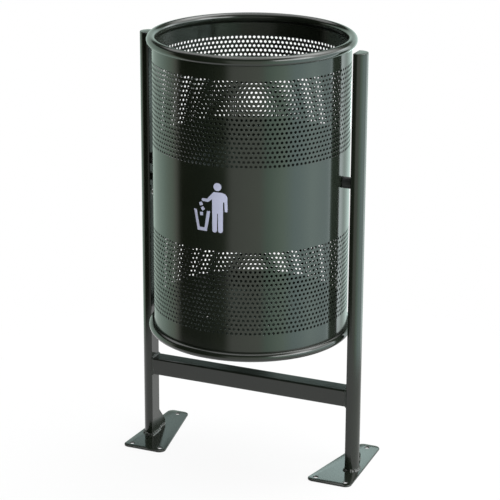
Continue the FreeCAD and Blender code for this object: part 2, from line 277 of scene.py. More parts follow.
@dataclass
class Slab:
    """Flat piece of even thickness with rounded edges, drawn in two numbers with its height as third."""

    outline: Loop
    holes: Sequence[Loop]
    low: float
    high: float
    low_edge: float
    high_edge: float
    axes: tuple[int, int, int] = (0, 1, 2)   # where the two numbers and the height go in X, Y, Z

    def surface(self, steps: int = 4) -> Surface:
        """The closed surface of the slab.

        Each edge is a quarter circle: a point that has turned by t from the face lies in from the
        outline by edge times (1 - sin t), and edge times (1 - cos t) from the face. The faces are
        filled between the outlines.

        Args:
            steps: faces across each rounded edge.

        Returns:
            The surface, its faces outwards.
        """
        turn = np.linspace(0.0, math.pi / 2, steps + 1)
        insets = np.concatenate([self.low_edge * (1 - np.sin(turn)),
                                 self.high_edge * (1 - np.sin(turn[::-1]))])
        heights = np.concatenate([self.low + self.low_edge * (1 - np.cos(turn)),
                                  self.high - self.high_edge * (1 - np.cos(turn[::-1]))])
        points, quads, lower, upper, first = [], [], [], [], 0
        for loop in (self.outline, *self.holes):
            count = len(loop.points)
            flat = loop.points[None] - insets[:, None, None] * loop.normals[None]
            tall = np.broadcast_to(heights[:, None, None], (len(heights), count, 1))
            points.append(np.concatenate([flat, tall], 2).reshape(-1, 3))
            quads.append(grid_quads(len(heights), count, False, True) + first)
            lower.append(first + np.arange(count))
            upper.append(first + (len(heights) - 1) * count + np.arange(count))
            first += len(heights) * count
        drawn = np.concatenate(points)
        faces = []
        for rings, flip in ((lower, True), (upper, False)):
            numbers = np.concatenate(rings)
            fill = np.array(tessellate_polygon([[Vector(p) for p in drawn[ring]] for ring in rings]))
            a, b, c = (drawn[numbers[fill[:, k]]] for k in range(3))
            clockwise = np.cross(b - a, c - a)[:, 2] < 0.0
            fill = np.where((clockwise != flip)[:, None], fill[:, ::-1], fill)
            faces.append(numbers[fill])
        placed = np.empty_like(drawn)
        placed[:, list(self.axes)] = drawn
        return Surface(placed, np.concatenate(quads), np.concatenate(faces)).outward()


# --- weld beads -------------------------------------------------------------------------------------


@dataclass
class WeldBead:
    """Fillet weld laid in a corner: a rounded ridge with fine ripples and an uneven edge."""

    leg: float = 0.0026
    ripple: float = 0.16
    wavelength: float = 0.0019
    uneven: float = 0.10
    lump: float = 0.012          # length of its slow swellings
    seed: int = 1
    section: int = 9

    def laid(self, path: np.ndarray, side_a: np.ndarray, side_b: np.ndarray, closed: bool) -> Surface:
        """The bead along a path.

        With s the length along the path and t the angle across the corner, a point lies from the
        path by r(s, t) (A cos t + B sin t). Here r is the leg, times 0.6 + 0.4 / (cos t + sin t),
        times one plus a ripple, the absolute sine of s over the wavelength, and a slow unevenness
        of three sines, of one, 0.6 and 0.3 times as many swellings as the length holds lumps. The
        section closes on a point sunk a third of a leg into the corner. An open bead tapers at
        both ends.

        Args:
            path: points along the corner, in order.
            side_a: at each point, the direction along one face, times its share of the leg.
            side_b: the same along the other face.
            closed: whether the path runs round.

        Returns:
            The closed surface of the bead.
        """
        chance = np.random.default_rng(self.seed)
        step = np.linalg.norm(np.diff(path, axis=0), axis=1)
        s = np.concatenate([[0.0], np.cumsum(step)])
        total = s[-1] + (np.linalg.norm(path[0] - path[-1]) if closed else 0.0)
        waves = max(1, round(total / self.wavelength))
        size = 1.0 + self.ripple * (np.abs(np.sin(math.pi * waves * s / total)) - 0.6)
        for share in (1.0, 0.6, 0.3):
            count = max(1, round(share * total / self.lump))
            size += 0.6 * self.uneven * np.sin(2 * math.pi * (count * s / total + chance.random()))
        if not closed:
            size *= 0.35 + 0.65 * (1.0 - np.abs(2.0 * s / total - 1.0) ** 10)
        t = np.linspace(0.0, math.pi / 2, self.section)
        bulge = 0.6 + 0.4 / (np.cos(t) + np.sin(t))
        reach = self.leg * size[:, None] * bulge[None, :]
        ridge = path[:, None] + reach[..., None] * (
            np.cos(t)[None, :, None] * side_a[:, None] + np.sin(t)[None, :, None] * side_b[:, None])
        sunk = path - 0.33 * self.leg * (side_a + side_b)
        return tube(np.concatenate([ridge, sunk[:, None]], 1), closed)

    def straight(self, start: Sequence[float], end: Sequence[float], side_a: Sequence[float],
                 side_b: Sequence[float]) -> Surface:
        """The bead along a straight corner.

        Args:
            start: where it begins.
            end: where it ends.
            side_a: direction along one face.
            side_b: direction along the other.

        Returns:
            The closed surface of the bead.
        """
        a, b = np.asarray(start, float), np.asarray(end, float)
        count = max(12, round(float(np.linalg.norm(b - a)) / (self.wavelength / 5)))
        path = a + (b - a) * np.linspace(0.0, 1.0, count)[:, None]
        return self.laid(path, np.tile(np.asarray(side_a, float), (count, 1)),
                         np.tile(np.asarray(side_b, float), (count, 1)), False)


# --- shader graphs ----------------------------------------------------------------------------------


class Value:
    """A socket's output that can be used in sums."""

    def __init__(self, graph: "Graph", socket: bpy.types.NodeSocket) -> None:
        """Keeps the graph and the socket."""
        self.graph, self.socket = graph, socket

    def __add__(self, other: "Value | float") -> "Value":
        """This plus the other."""
        return self.graph.math("ADD", self, other)

    __radd__ = __add__

    def __sub__(self, other: "Value | float") -> "Value":
        """This less the other."""
        return self.graph.math("SUBTRACT", self, other)

    def __rsub__(self, other: "Value | float") -> "Value":
        """The other less this."""
        return self.graph.math("SUBTRACT", other, self)

    def __mul__(self, other: "Value | float") -> "Value":
        """This times the other."""
        return self.graph.math("MULTIPLY", self, other)

    __rmul__ = __mul__

    def __truediv__(self, other: "Value | float") -> "Value":
        """This over the other."""
        return self.graph.math("DIVIDE", self, other)


class Graph:
    """Node tree of a material or a world, written as sums of values."""

    def __init__(self, tree: bpy.types.NodeTree) -> None:
        """Empties the tree."""
        self.tree = tree
        tree.nodes.clear()

    def node(self, kind: str, settings: dict[str, Any], inputs: dict[Any, Any]) -> bpy.types.Node:
        """Adds one node.

        Args:
            kind: the node's type name.
            settings: its own properties, set first; "stops" is a ramp's list of place and colour.
            inputs: values or links of its sockets, by name or number.

        Returns:
            The node.
        """
        node = self.tree.nodes.new(kind)
        for key, setting in settings.items():
            if key == "stops":
                self._stops(node.color_ramp, setting)
            else:
                setattr(node, key, setting)
        for key, value in inputs.items():
            if isinstance(value, Value):
                self.tree.links.new(value.socket, node.inputs[key])
            else:
                node.inputs[key].default_value = value
        return node

    @staticmethod
    def _stops(ramp: bpy.types.ColorRamp, stops: Sequence[tuple[float, Colour]]) -> None:
        """Sets a ramp's stops."""
        while len(ramp.elements) < len(stops):
            ramp.elements.new(1.0)
        for element, (place, colour) in zip(ramp.elements, stops):
            element.position = place
            element.color = (*colour, 1.0)

    def out(self, kind: str, output: str | int, settings: dict[str, Any], inputs: dict[Any, Any]) -> Value:
        """Adds one node and gives one of its outputs."""
        return Value(self, self.node(kind, settings, inputs).outputs[output])

    def math(self, operation: str, a: "Value | float", b: "Value | float" = 0.0) -> Value:
        """One sum on values."""
        return self.out("ShaderNodeMath", 0, {"operation": operation}, {0: a, 1: b})

    def between(self, value: Value, low: float, high: float, start: float = 0.0, end: float = 1.0) -> Value:
        """Soft step: start below low, end above high."""
        return self.out("ShaderNodeMapRange", 0, {"interpolation_type": "SMOOTHSTEP"},
                        {0: value, 1: low, 2: high, 3: start, 4: end})

    def blend(self, factor: "Value | float", a: Any, b: Any) -> Value:
        """Mix of two colours."""
        return self.out("ShaderNodeMix", 2, {"data_type": "RGBA"}, {0: factor, 6: a, 7: b})

    def vector(self, operation: str, a: Any, b: Any) -> Value:
        """One sum on vectors or colours."""
        return self.out("ShaderNodeVectorMath", 0, {"operation": operation}, {0: a, 1: b})

    def place(self) -> Value:
        """Position on the object, in metres."""
        return self.out("ShaderNodeTexCoord", "Object", {}, {})

    def noise(self, vector: Value, scale: float, detail: float = 2.0, roughness: float = 0.5) -> Value:
        """Cloudy pattern from 0 to 1."""
        return self.out("ShaderNodeTexNoise", 0, {},
                        {"Vector": vector, "Scale": scale, "Detail": detail, "Roughness": roughness})

    def stretched(self, vector: Value, scale: Sequence[float]) -> Value:
        """A position scaled by its own number on each axis."""
        return self.out("ShaderNodeMapping", 0, {}, {"Vector": vector, "Scale": scale})

    def bump(self, height: Value, strength: float, distance: float, normal: "Value | None" = None) -> Value:
        """Surface relief from a height."""
        inputs: dict[Any, Any] = {"Strength": strength, "Distance": distance, "Height": height}
        if normal is not None:
            inputs["Normal"] = normal
        return self.out("ShaderNodeBump", 0, {}, inputs)

    def surface(self, inputs: dict[Any, Any]) -> None:
        """Ends a material in one Principled shader."""
        shader = self.out("ShaderNodeBsdfPrincipled", 0, {}, inputs)
        self.node("ShaderNodeOutputMaterial", {}, {0: shader})


def new_graph(name: str) -> tuple[bpy.types.Material, Graph]:
    """A new material and its empty graph."""
    material = bpy.data.materials.new(name)
    material.use_nodes = True
    return material, Graph(material.node_tree)


# --- finishes ---------------------------------------------------------------------------------------


@dataclass(frozen=True)
class PowderCoat:
    """Grey-green satin powder coat: faint orange peel, cloudy gloss and, over welds, pale specks of painted
    glint.
    """

    name: str
    tint: Colour = (0.0115, 0.0142, 0.0106)
    deep: Colour = (0.0095, 0.0118, 0.0086)
    # colour of the pale specks over welds: painted glints
    painted_glint_colour: Colour = (0.42, 0.45, 0.43)
    gloss: float = 0.14
    peel: float = 0.06
    painted_glint_share: float = 0.0

    def material(self) -> bpy.types.Material:
        """The coat as a material.

        Returns:
            A material whose colour follows a slow cloud and whose relief is peel over a fine grain.
        """
        material, g = new_graph(self.name)
        at = g.place()
        cloud = g.noise(at, 9.0, 3.0, 0.55)
        peel = g.noise(at, 420.0, 2.0, 0.45)
        grain = g.noise(at, 2600.0, 1.0)
        colour = g.blend(g.between(cloud, 0.3, 0.7), (*self.deep, 1.0), (*self.tint, 1.0))
        # pale specks blended into the colour over welds: painted glints of the weld ripples
        if self.painted_glint_share > 0.0:
            painted_glint_mask = g.between(g.noise(at, 900.0, 1.0), 0.70, 0.78) * self.painted_glint_share
            colour = g.blend(painted_glint_mask, colour, (*self.painted_glint_colour, 1.0))
        rough = self.gloss + 0.05 * (cloud - 0.5) + 0.04 * (grain - 0.5)
        relief = g.bump(peel, self.peel, 0.00006, g.bump(grain, self.peel * 0.4, 0.00001))
        g.surface({"Base Color": colour, "Roughness": rough, "Normal": relief, "IOR": 1.5,
                   "Metallic": 0.0})
        return material


@dataclass(frozen=True)
class ZincSteel:
    """Zinc-plated steel, turned or milled: fine rings of tool marks and dull patches."""

    name: str
    tint: Colour = (0.56, 0.57, 0.58)
    dull: Colour = (0.42, 0.43, 0.42)

    def material(self) -> bpy.types.Material:
        """The plating as a material."""
        material, g = new_graph(self.name)
        at = g.place()
        marks = g.noise(g.stretched(at, (9000.0, 700.0, 700.0)), 1.0, 2.0)
        patch = g.noise(at, 260.0, 3.0, 0.6)
        colour = g.blend(patch, (*self.tint, 1.0), (*self.dull, 1.0))
        g.surface({"Base Color": colour, "Roughness": 0.30 + 0.16 * patch + 0.06 * marks,
                   "Metallic": 1.0, "Normal": g.bump(marks, 0.18, 0.00003)})
        return material


@dataclass(frozen=True)
class BlackNylon:
    """Turned black nylon, dull, with a fine grain."""

    name: str
    tint: Colour = (0.012, 0.012, 0.013)
    worn: Colour = (0.022, 0.022, 0.023)

    def material(self) -> bpy.types.Material:
        """The plastic as a material."""
        material, g = new_graph(self.name)
        at = g.place()
        grain = g.noise(at, 1500.0, 3.0)
        cloud = g.noise(at, 120.0, 2.0)
        colour = g.blend(cloud, (*self.tint, 1.0), (*self.worn, 1.0))
        g.surface({"Base Color": colour, "Roughness": 0.42 + 0.14 * grain, "IOR": 1.46,
                   "Normal": g.bump(grain, 0.15, 0.00004)})
        return material


@dataclass(frozen=True)
class PaleFilm:
    """Pale lilac-grey vinyl film, nearly matte, with a faint fleck."""

    name: str
    tint: Colour = (0.53, 0.51, 0.71)
    fleck: Colour = (0.47, 0.46, 0.64)

    def material(self) -> bpy.types.Material:
        """The film as a material."""
        material, g = new_graph(self.name)
        at = g.place()
        fleck = g.noise(at, 700.0, 3.0, 0.6)
        colour = g.blend(g.between(fleck, 0.35, 0.75), (*self.tint, 1.0), (*self.fleck, 1.0))
        g.surface({"Base Color": colour, "Roughness": 0.46 + 0.1 * fleck,
                   "Normal": g.bump(fleck, 0.06, 0.00002)})
        return material


class Finishes:
    """Every finish of the object, made once."""

    def __init__(self) -> None:
        """Makes the materials."""
        self.by_slot: dict[Slot, bpy.types.Material] = {
            Slot.FRAME_COATING: PowderCoat("frame_coat").material(),
            Slot.BIN_COATING: PowderCoat("bin_coat").material(),
            Slot.ZINC_STEEL: ZincSteel("zinc_plating").material(),
            Slot.BLACK_NYLON: BlackNylon("black_nylon_turned").material(),
            Slot.PALE_FILM: PaleFilm("pale_vinyl_film").material(),
        }
        # the weld coat carries pale specks that are painted glints
        self.weld = PowderCoat("coat_over_weld", peel=0.35, gloss=0.34, painted_glint_share=0.32).material()

    def dress_parts(self) -> None:
        """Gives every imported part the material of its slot."""
        for name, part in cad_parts.items():
            for place in part.material_slots:
                slot = Slot(place.material.name.split(".")[0])
                place.material = self.by_slot[slot]
            LOG.info("%s: packed part, dressed", name)


# --- the bin ----------------------------------------------------------------------------------------


@dataclass
class Holes:
    """Holes of one size in a strip of sheet, each in the middle of a square block of grid cells."""

    columns: np.ndarray    # grid column of each hole's centre
    lines: np.ndarray      # grid line of each hole's centre
    cells: int             # cells from the centre to the block's edge
    radius: float

    def rim(self) -> np.ndarray:
        """Steps from the centre to each point round the block's edge, anticlockwise from the right."""
        n = self.cells
        k = np.arange(8 * n)
        x = np.clip(np.abs((k + 4 * n) % (8 * n) - 4 * n) * -1 + 2 * n, -n, n)
        y = np.clip(2 * n - np.abs((k - 2 * n + 4 * n) % (8 * n) - 4 * n), -n, n)
        return np.stack([x, y], 1)


@dataclass
class BinBody:
    """The round bin: rolled sheet with two perforated bands, its seam and the beads at its rims."""

    columns: int = 270
    thickness: float = 0.0015
    row_pitch: float = 0.0088
    rows: int = 19
    hole_radius: float = 0.00272
    upper_band: float = 0.731
    lower_band: float = 0.4036
    sheet_top: float = 0.8412
    sheet_foot: float = 0.2868
    seam_column: int = 22
    seam_half_width: float = 0.0016
    seam_proud: float = 0.00065
    seam_sunk: float = 0.0003
    rim_steps: int = 1500
    rim_gap: float = 0.0001       # the rim beads start this far past the sheet's edges
    hole_cells: int = 3           # grid cells from a pivot or lock hole's centre to its block's edge
    pivot_hole: float = 0.00805
    lock_hole: float = 0.0081

    def __post_init__(self) -> None:
        """Reads the sheet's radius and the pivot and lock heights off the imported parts."""
        low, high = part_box("body_sheet")
        self.radius = 0.5 * (high.x - low.x)
        spacer_low, spacer_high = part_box("pivot_spacers")
        self.pivot_z = 0.5 * (spacer_low.z + spacer_high.z)
        barrel_low, barrel_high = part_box("lock_barrel")
        self.lock_z = 0.5 * (barrel_low.z + barrel_high.z)

    def _wrapped(self, angle: np.ndarray, height: np.ndarray, radius: float) -> np.ndarray:
        """Points on the cylinder of that radius."""
        return np.stack([radius * np.cos(angle), radius * np.sin(angle), height], -1).reshape(-1, 3)

    def strip(self, lines: np.ndarray, groups: Sequence[Holes]) -> Surface:
        """One closed strip of the rolled sheet with its holes.

        The sheet is a grid of angle and height on two cylinders, the outer and the inner face. A hole
        takes a square block of cells out and puts a ring of faces there: from the block's edge to a
        circle, whose points lie at the hole's radius times (cos p, sin p) round its centre.

        Args:
            lines: heights of the grid's lines.
            groups: the holes.

        Returns:
            The strip: two faces, the walls of the holes, and the upper and lower edge.
        """
        n, m = self.columns, len(lines)
        step = 2.0 * math.pi / n
        inner_r = self.radius - self.thickness
        angle, height = np.meshgrid(np.arange(n) * step, lines, indexing="xy")
        points = [self._wrapped(angle, height, self.radius), self._wrapped(angle, height, inner_r)]
        inside = n * m
        whole = np.ones((m - 1, n), bool)
        quads: list[np.ndarray] = []
        count = 2 * inside
        for holes in groups:
            reach = np.arange(-holes.cells, holes.cells)
            cell_i = (holes.columns[:, None, None] + reach[None, :, None]) % n
            cell_j = holes.lines[:, None, None] + reach[None, None, :]
            whole[np.broadcast_to(cell_j, (len(holes.lines), 2 * holes.cells, 2 * holes.cells)),
                  np.broadcast_to(cell_i, (len(holes.lines), 2 * holes.cells, 2 * holes.cells))] = False
            rim = holes.rim()
            ring = len(rim)
            edge = (holes.lines[:, None] + rim[:, 1]) * n + (holes.columns[:, None] + rim[:, 0]) % n
            p = 2.0 * math.pi * np.arange(ring) / ring
            full = holes.radius * math.sqrt(p[1] / math.sin(p[1]))
            hole_angle = holes.columns[:, None] * step + full * np.cos(p) / self.radius
            hole_height = lines[holes.lines][:, None] + full * np.sin(p)
            points += [self._wrapped(hole_angle, hole_height, self.radius),
                       self._wrapped(hole_angle, hole_height, inner_r)]
            own = np.arange(edge.size).reshape(edge.shape)
            outer, inner = own + count, own + count + edge.size
            count += 2 * edge.size
            edge_on, outer_on, inner_on = (np.roll(a, -1, 1) for a in (edge, outer, inner))
            quads += [np.stack(f, -1).reshape(-1, 4) for f in (
                (edge, edge_on, outer_on, outer),
                (inner, inner_on, edge_on + inside, edge + inside),
                (outer, outer_on, inner_on, inner))]
        j, i = np.nonzero(whole)
        on = (i + 1) % n
        face = np.stack([j * n + i, j * n + on, (j + 1) * n + on, (j + 1) * n + i], 1)
        i = np.arange(n)
        on = (i + 1) % n
        top = (m - 1) * n
        quads += [face, face[:, ::-1] + inside,
                  np.stack([i, i + inside, on + inside, on], 1),
                  np.stack([top + i, top + on, top + on + inside, top + i + inside], 1)]
        faces = np.concatenate(quads)
        used, renumbered = np.unique(faces, return_inverse=True)
        return Surface(np.concatenate(points)[used], renumbered.reshape(-1, 4), np.zeros((0, 3), int))

    def band(self, centre: float) -> Surface:
        """One perforated band: staggered rows of holes, with a plain margin at the seam.

        Args:
            centre: height of its middle.

        Returns:
            The band.
        """
        lines = centre + (np.arange(2 * self.rows + 1) - self.rows) * self.row_pitch / 2
        row, hole = np.meshgrid(np.arange(self.rows), np.arange(self.columns // 2), indexing="ij")
        columns = (2 * hole + row % 2).ravel()
        kept = np.abs(columns - self.seam_column) > 1
        return self.strip(lines, [Holes(columns[kept], (2 * row + 1).ravel()[kept], 1, self.hole_radius)])

    def _spans(self) -> list[np.ndarray]:
        """Grid lines of the three plain strips, with closer lines at the pivot and the lock."""
        half = self.rows * self.row_pitch / 2
        cell = 2.0 * math.pi * self.radius / self.columns
        near = np.arange(-self.hole_cells, self.hole_cells + 1) * cell
        middle = np.concatenate([[self.lower_band + half], self.lock_z + near, self.pivot_z + near,
                                 [self.upper_band - half]])
        return [np.array([self.sheet_foot, self.lower_band - half]), middle,
                np.array([self.upper_band + half, self.sheet_top])]

    def plain(self) -> Surface:
        """The plain strips below, between and above the bands, with the pivot and lock holes."""
        foot, middle, top = self._spans()
        left, cells = self.columns // 2, self.hole_cells
        lock_line = 1 + cells
        pivot_line = lock_line + 2 * cells + 1
        pivots = Holes(np.array([0, left]), np.array([pivot_line, pivot_line]), cells, self.pivot_hole)
        lock = Holes(np.array([left]), np.array([lock_line]), cells, self.lock_hole)
        return merged([self.strip(foot, []), self.strip(middle, [pivots, lock]), self.strip(top, [])])

    def seam(self) -> Surface:
        """The sheet's upright weld, dressed nearly flush.

        Across the seam its height is a half ellipse, and it wavers slowly along its length.
        """
        z = np.linspace(self.sheet_foot, self.sheet_top, 240)
        t = np.linspace(0.0, math.pi, 9)
        waver = 1.0 + 0.12 * np.sin(z * 900.0) + 0.10 * np.sin(z * 210.0 + 1.0)
        across = self.seam_half_width * np.cos(t)[None, :] * waver[:, None]
        out = self.radius - self.seam_sunk + (self.seam_proud * np.sin(t))[None, :] * waver[:, None]
        angle = self.seam_column * 2.0 * math.pi / self.columns + across / self.radius
        height = np.broadcast_to(z[:, None], out.shape)
        return tube(np.stack([out * np.cos(angle), out * np.sin(angle), height], -1), False)

    def rim_beads(self) -> Surface:
        """Beads round the inside, where the sheet's two edges meet the rim tubes."""
        inner = self.radius - self.thickness
        angle = np.linspace(0.0, 2.0 * math.pi, self.rim_steps, endpoint=False)
        spoke = np.column_stack([spokes(angle), np.zeros(self.rim_steps)])
        up = np.tile([0.0, 0.0, 1.0], (self.rim_steps, 1))
        beads = []
        for height, along, seed in ((self.sheet_top + self.rim_gap, -up, 5),
                                    (self.sheet_foot - self.rim_gap, up, 6)):
            path = inner * spoke + height * up
            beads.append(WeldBead(leg=0.0018, wavelength=0.0034, section=6, seed=seed).laid(
                path, -spoke, along, True))
        return merged(beads)

    def build(self, finishes: Finishes) -> None:
        """Makes and dresses the bin's pieces."""
        coat = finishes.by_slot[Slot.BIN_COATING]
        for name, surface in (("upper_perforated_band", self.band(self.upper_band)),
                              ("lower_perforated_band", self.band(self.lower_band)),
                              ("plain_bands", self.plain())):
            add_piece(name, surface, Body.BIN, Slot.BIN_COATING, coat, ["body_sheet"])
        add_piece("sheet_seam", self.seam(), Body.BIN, Slot.BIN_COATING, finishes.weld)
        add_piece("rim_weld_beads", self.rim_beads(), Body.BIN, Slot.BIN_COATING, finishes.weld)


# --- the frame --------------------------------------------------------------------------------------


@dataclass
class PostSection:
    """D-shaped section of a post: round outside, flat towards the bin, small rounds between."""

    radius: float = 0.0175
    centre_out: float = 0.0064    # centre of the round side, beyond the flat
    corner: float = 0.0015

    def __post_init__(self) -> None:
        """Reads the flat side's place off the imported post."""
        self.flat_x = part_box("right_post")[0].x
        self.axis_x = self.flat_x + self.centre_out

    def loop(self) -> Loop:
        """The section of the right post.

        The long arc goes round the post's axis. Each corner is an arc about a point that lies one
        corner radius in from both the flat and the round side, and the flat joins the two.

        Returns:
            The outline, anticlockwise.
        """
        back = self.corner - self.centre_out
        side = math.sqrt((self.radius - self.corner) ** 2 - back ** 2)
        meet = math.atan2(side, back)
        steps_round, steps_corner = 64, 8
        parts = ((0.0, 0.0, self.radius, -meet, meet, steps_round),
                 (back, side, self.corner, meet, math.pi, steps_corner),
                 (back, -side, self.corner, math.pi, 2 * math.pi - meet, steps_corner))
        points, normals = [], []
        for x, y, radius, start, end, steps in parts:
            angle = np.linspace(start, end, steps)
            spoke = spokes(angle)
            points.append(np.array([self.axis_x + x, y]) + radius * spoke)
            normals.append(spoke)
        corner = np.arange(steps_corner)      # each corner leaves out the point it shares with the arc
        keep = np.concatenate([np.ones(steps_round, bool), corner > 0, corner < steps_corner - 1])
        return Loop(np.concatenate(points)[keep], np.concatenate(normals)[keep])


@dataclass
class Feet:
    """Base plates and the triangular ribs behind the posts, with softened edges."""

    plate_front_in: float = 0.064
    plate_front_out: float = 0.030
    plate_back_in: float = 0.024
    plate_back_out: float = 0.020
    plate_corner: float = 0.013
    plate_edge: float = 0.0009
    plate_under_edge: float = 0.0004
    anchor_radius: float = 0.0045
    front_anchor_y: float = -0.067
    front_anchor_x: float = 0.201
    front_anchor_pitch: float = 0.062
    back_anchor: tuple[float, float] = (0.2125, 0.106)
    rib_thickness: float = 0.004
    rib_nose: float = 0.009
    rib_edge: float = 0.0005
    rib_corner: float = 0.0003
    rib_sunk: float = 0.0010          # its upright edge lies this far inside the post

    def __post_init__(self) -> None:
        """Reads the plates' limits and the ribs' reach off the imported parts."""
        self.section = PostSection()
        low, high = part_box("right_base_plate")
        self.front_y, self.back_y, self.plate_top = low.y, high.y, high.z
        low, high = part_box("foot_gussets")
        self.rib_reach, self.rib_top = high.y, high.z

    def plate(self) -> Surface:
        """The right base plate with its three anchor holes."""
        x = self.section.axis_x
        outline = rounded_polygon([(x - self.plate_front_in, self.front_y),
                                   (x + self.plate_front_out, self.front_y),
                                   (x + self.plate_back_out, self.back_y),
                                   (x - self.plate_back_in, self.back_y)], self.plate_corner, 12)
        half = self.front_anchor_pitch / 2
        holes = [round_hole(self.front_anchor_x - half, self.front_anchor_y, self.anchor_radius),
                 round_hole(self.front_anchor_x + half, self.front_anchor_y, self.anchor_radius),
                 round_hole(*self.back_anchor, self.anchor_radius)]
        return Slab(outline, holes, 0.0, self.plate_top, self.plate_under_edge, self.plate_edge).surface()

    def rib(self) -> Surface:
        """The right rib, drawn in Y and Z, its thickness along X."""
        x = self.section.axis_x
        root = self.section.radius
        inside = root - self.rib_sunk
        outline = rounded_polygon([(inside, self.plate_top), (self.rib_reach, self.plate_top),
                                   (self.rib_reach, self.plate_top + self.rib_nose),
                                   (root, self.rib_top), (inside, self.rib_top)], self.rib_corner, 3)
        half = self.rib_thickness / 2
        return Slab(outline, [], x - half, x + half, self.rib_edge, self.rib_edge, (1, 2, 0)).surface(3)

    def beads(self) -> Surface:
        """Beads of the right foot: round the post, and along both sides of the rib."""
        ring = self.section.loop().spaced(0.0004)
        path = np.column_stack([ring.points, np.full(len(ring.points), self.plate_top)])
        out = np.column_stack([ring.normals, np.zeros(len(ring.points))])
        up = np.tile([0.0, 0.0, 1.0], (len(path), 1))
        beads = [WeldBead(leg=0.0038, wavelength=0.0044, uneven=0.20, lump=0.0105, seed=11).laid(
            path, out, up, True)]
        x, half, root = self.section.axis_x, self.rib_thickness / 2, self.section.radius
        short = 0.001                 # the rib's beads stop this far before its ends
        post = root - 0.0002
        for side, seed in ((1.0, 12), (-1.0, 14)):
            flank = x + side * half
            across = (side, 0.0, 0.0)
            beads.append(WeldBead(leg=0.0028, uneven=0.24, lump=0.006, seed=seed).straight(
                (flank, root + short, self.plate_top), (flank, self.rib_reach - short, self.plate_top),
                across, (0.0, 0.0, 1.0)))
            beads.append(WeldBead(leg=0.0026, uneven=0.22, lump=0.006, seed=seed + 1).straight(
                (flank, post, self.plate_top + short), (flank, post, self.rib_top - short),
                across, (0.0, 1.0, 0.0)))
        return merged(beads)

    def build(self, finishes: Finishes) -> None:
        """Makes and dresses both feet."""
        coat = finishes.by_slot[Slot.FRAME_COATING]
        plate, rib, beads = self.plate(), self.rib(), self.beads()
        add_piece("right_foot_plate", plate, Body.FRAME, Slot.FRAME_COATING, coat, ["right_base_plate"])
        add_piece("left_foot_plate", plate.mirrored(), Body.FRAME, Slot.FRAME_COATING, coat,
                  ["left_base_plate"])
        add_piece("foot_ribs", merged([rib, rib.mirrored()]), Body.FRAME, Slot.FRAME_COATING, coat,
                  ["foot_gussets"])
        add_piece("foot_weld_beads", merged([beads, beads.mirrored()]), Body.FRAME, Slot.FRAME_COATING,
                  finishes.weld, crease=60.0)


@dataclass
class PostsAndBar:
    """Lids of the posts, and the welds at the ends of the crossbar and at the keeper."""

    lid_round: float = 0.0008
    lid_seam: float = 0.0005
    bar_corner: float = 0.003

    def __post_init__(self) -> None:
        """Reads the lids' and the bar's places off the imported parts."""
        self.section = PostSection()
        self.lid_low, self.lid_high = (corner.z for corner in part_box("post_caps"))
        self.bar_low, self.bar_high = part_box("crossbar")
        self.keeper_low, self.keeper_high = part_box("lock_keeper")

    def lid(self) -> Surface:
        """The right lid: rounded upper edge, and a lower edge set back for the seam."""
        return Slab(self.section.loop(), [], self.lid_low, self.lid_high, self.lid_seam,
                    self.lid_round).surface(5)

    @staticmethod
    def _collar(bead: WeldBead, ring: Loop, x: float, along: float, share: Any = 1.0) -> Surface:
        """A bead round an outline of Y and Z that stands on a wall across X.

        Args:
            bead: the weld.
            ring: the outline.
            x: where the wall is.
            along: 1 or -1, the direction off the wall along X.
            share: the part of the leg that lies on the wall, for each point.

        Returns:
            The closed surface of the bead.
        """
        count = len(ring.points)
        path = np.column_stack([np.full(count, x), ring.points])
        out = np.column_stack([np.zeros(count), ring.normals * share])
        return bead.laid(path, out, np.tile([along, 0.0, 0.0], (count, 1)), True)

    def bar_bead(self) -> Surface:
        """The bead round the right end of the bar, narrower where the post's corner falls away."""
        half_y, low, high = self.bar_high.y, self.bar_low.z, self.bar_high.z
        ring = rounded_polygon([(-half_y, low), (half_y, low), (half_y, high), (-half_y, high)],
                               self.bar_corner, 8).spaced(0.0004)
        bead = WeldBead(leg=0.0030, wavelength=0.0024, uneven=0.14, seed=21)
        share = 1.0 - 0.6 * np.abs(ring.normals[:, :1])
        return self._collar(bead, ring, self.bar_high.x + 0.0001, -1.0, share)

    def keeper_bead(self) -> Surface:
        """The bead round the keeper's foot on the left post."""
        low, high = self.keeper_low, self.keeper_high
        ring = rounded_polygon([(low.y, low.z), (high.y, low.z), (high.y, high.z), (low.y, high.z)],
                               0.0004, 3).spaced(0.0003)
        return self._collar(WeldBead(leg=0.0014, wavelength=0.0016, seed=31), ring, low.x, 1.0)

    def build(self, finishes: Finishes) -> None:
        """Makes and dresses the pieces."""
        coat = finishes.by_slot[Slot.FRAME_COATING]
        lid, bead = self.lid(), self.bar_bead()
        add_piece("post_lids", merged([lid, lid.turned()]), Body.FRAME, Slot.FRAME_COATING, coat,
                  ["post_caps"])
        add_piece("bar_weld_beads", merged([bead, bead.mirrored()]), Body.FRAME, Slot.FRAME_COATING,
                  finishes.weld, crease=60.0)
        add_piece("keeper_weld_bead", self.keeper_bead(), Body.FRAME, Slot.FRAME_COATING, finishes.weld,
                  crease=60.0)


# --- stage, light and camera ------------------------------------------------------------------------


@dataclass(frozen=True)
class Softbox:
    """A soft panel of light far away, by its directions in degrees: azimuth 0 is the front (-Y)."""

    azimuth: float
    half_width: float
    low: float
    high: float
    power: float
    soft: float = 6.0


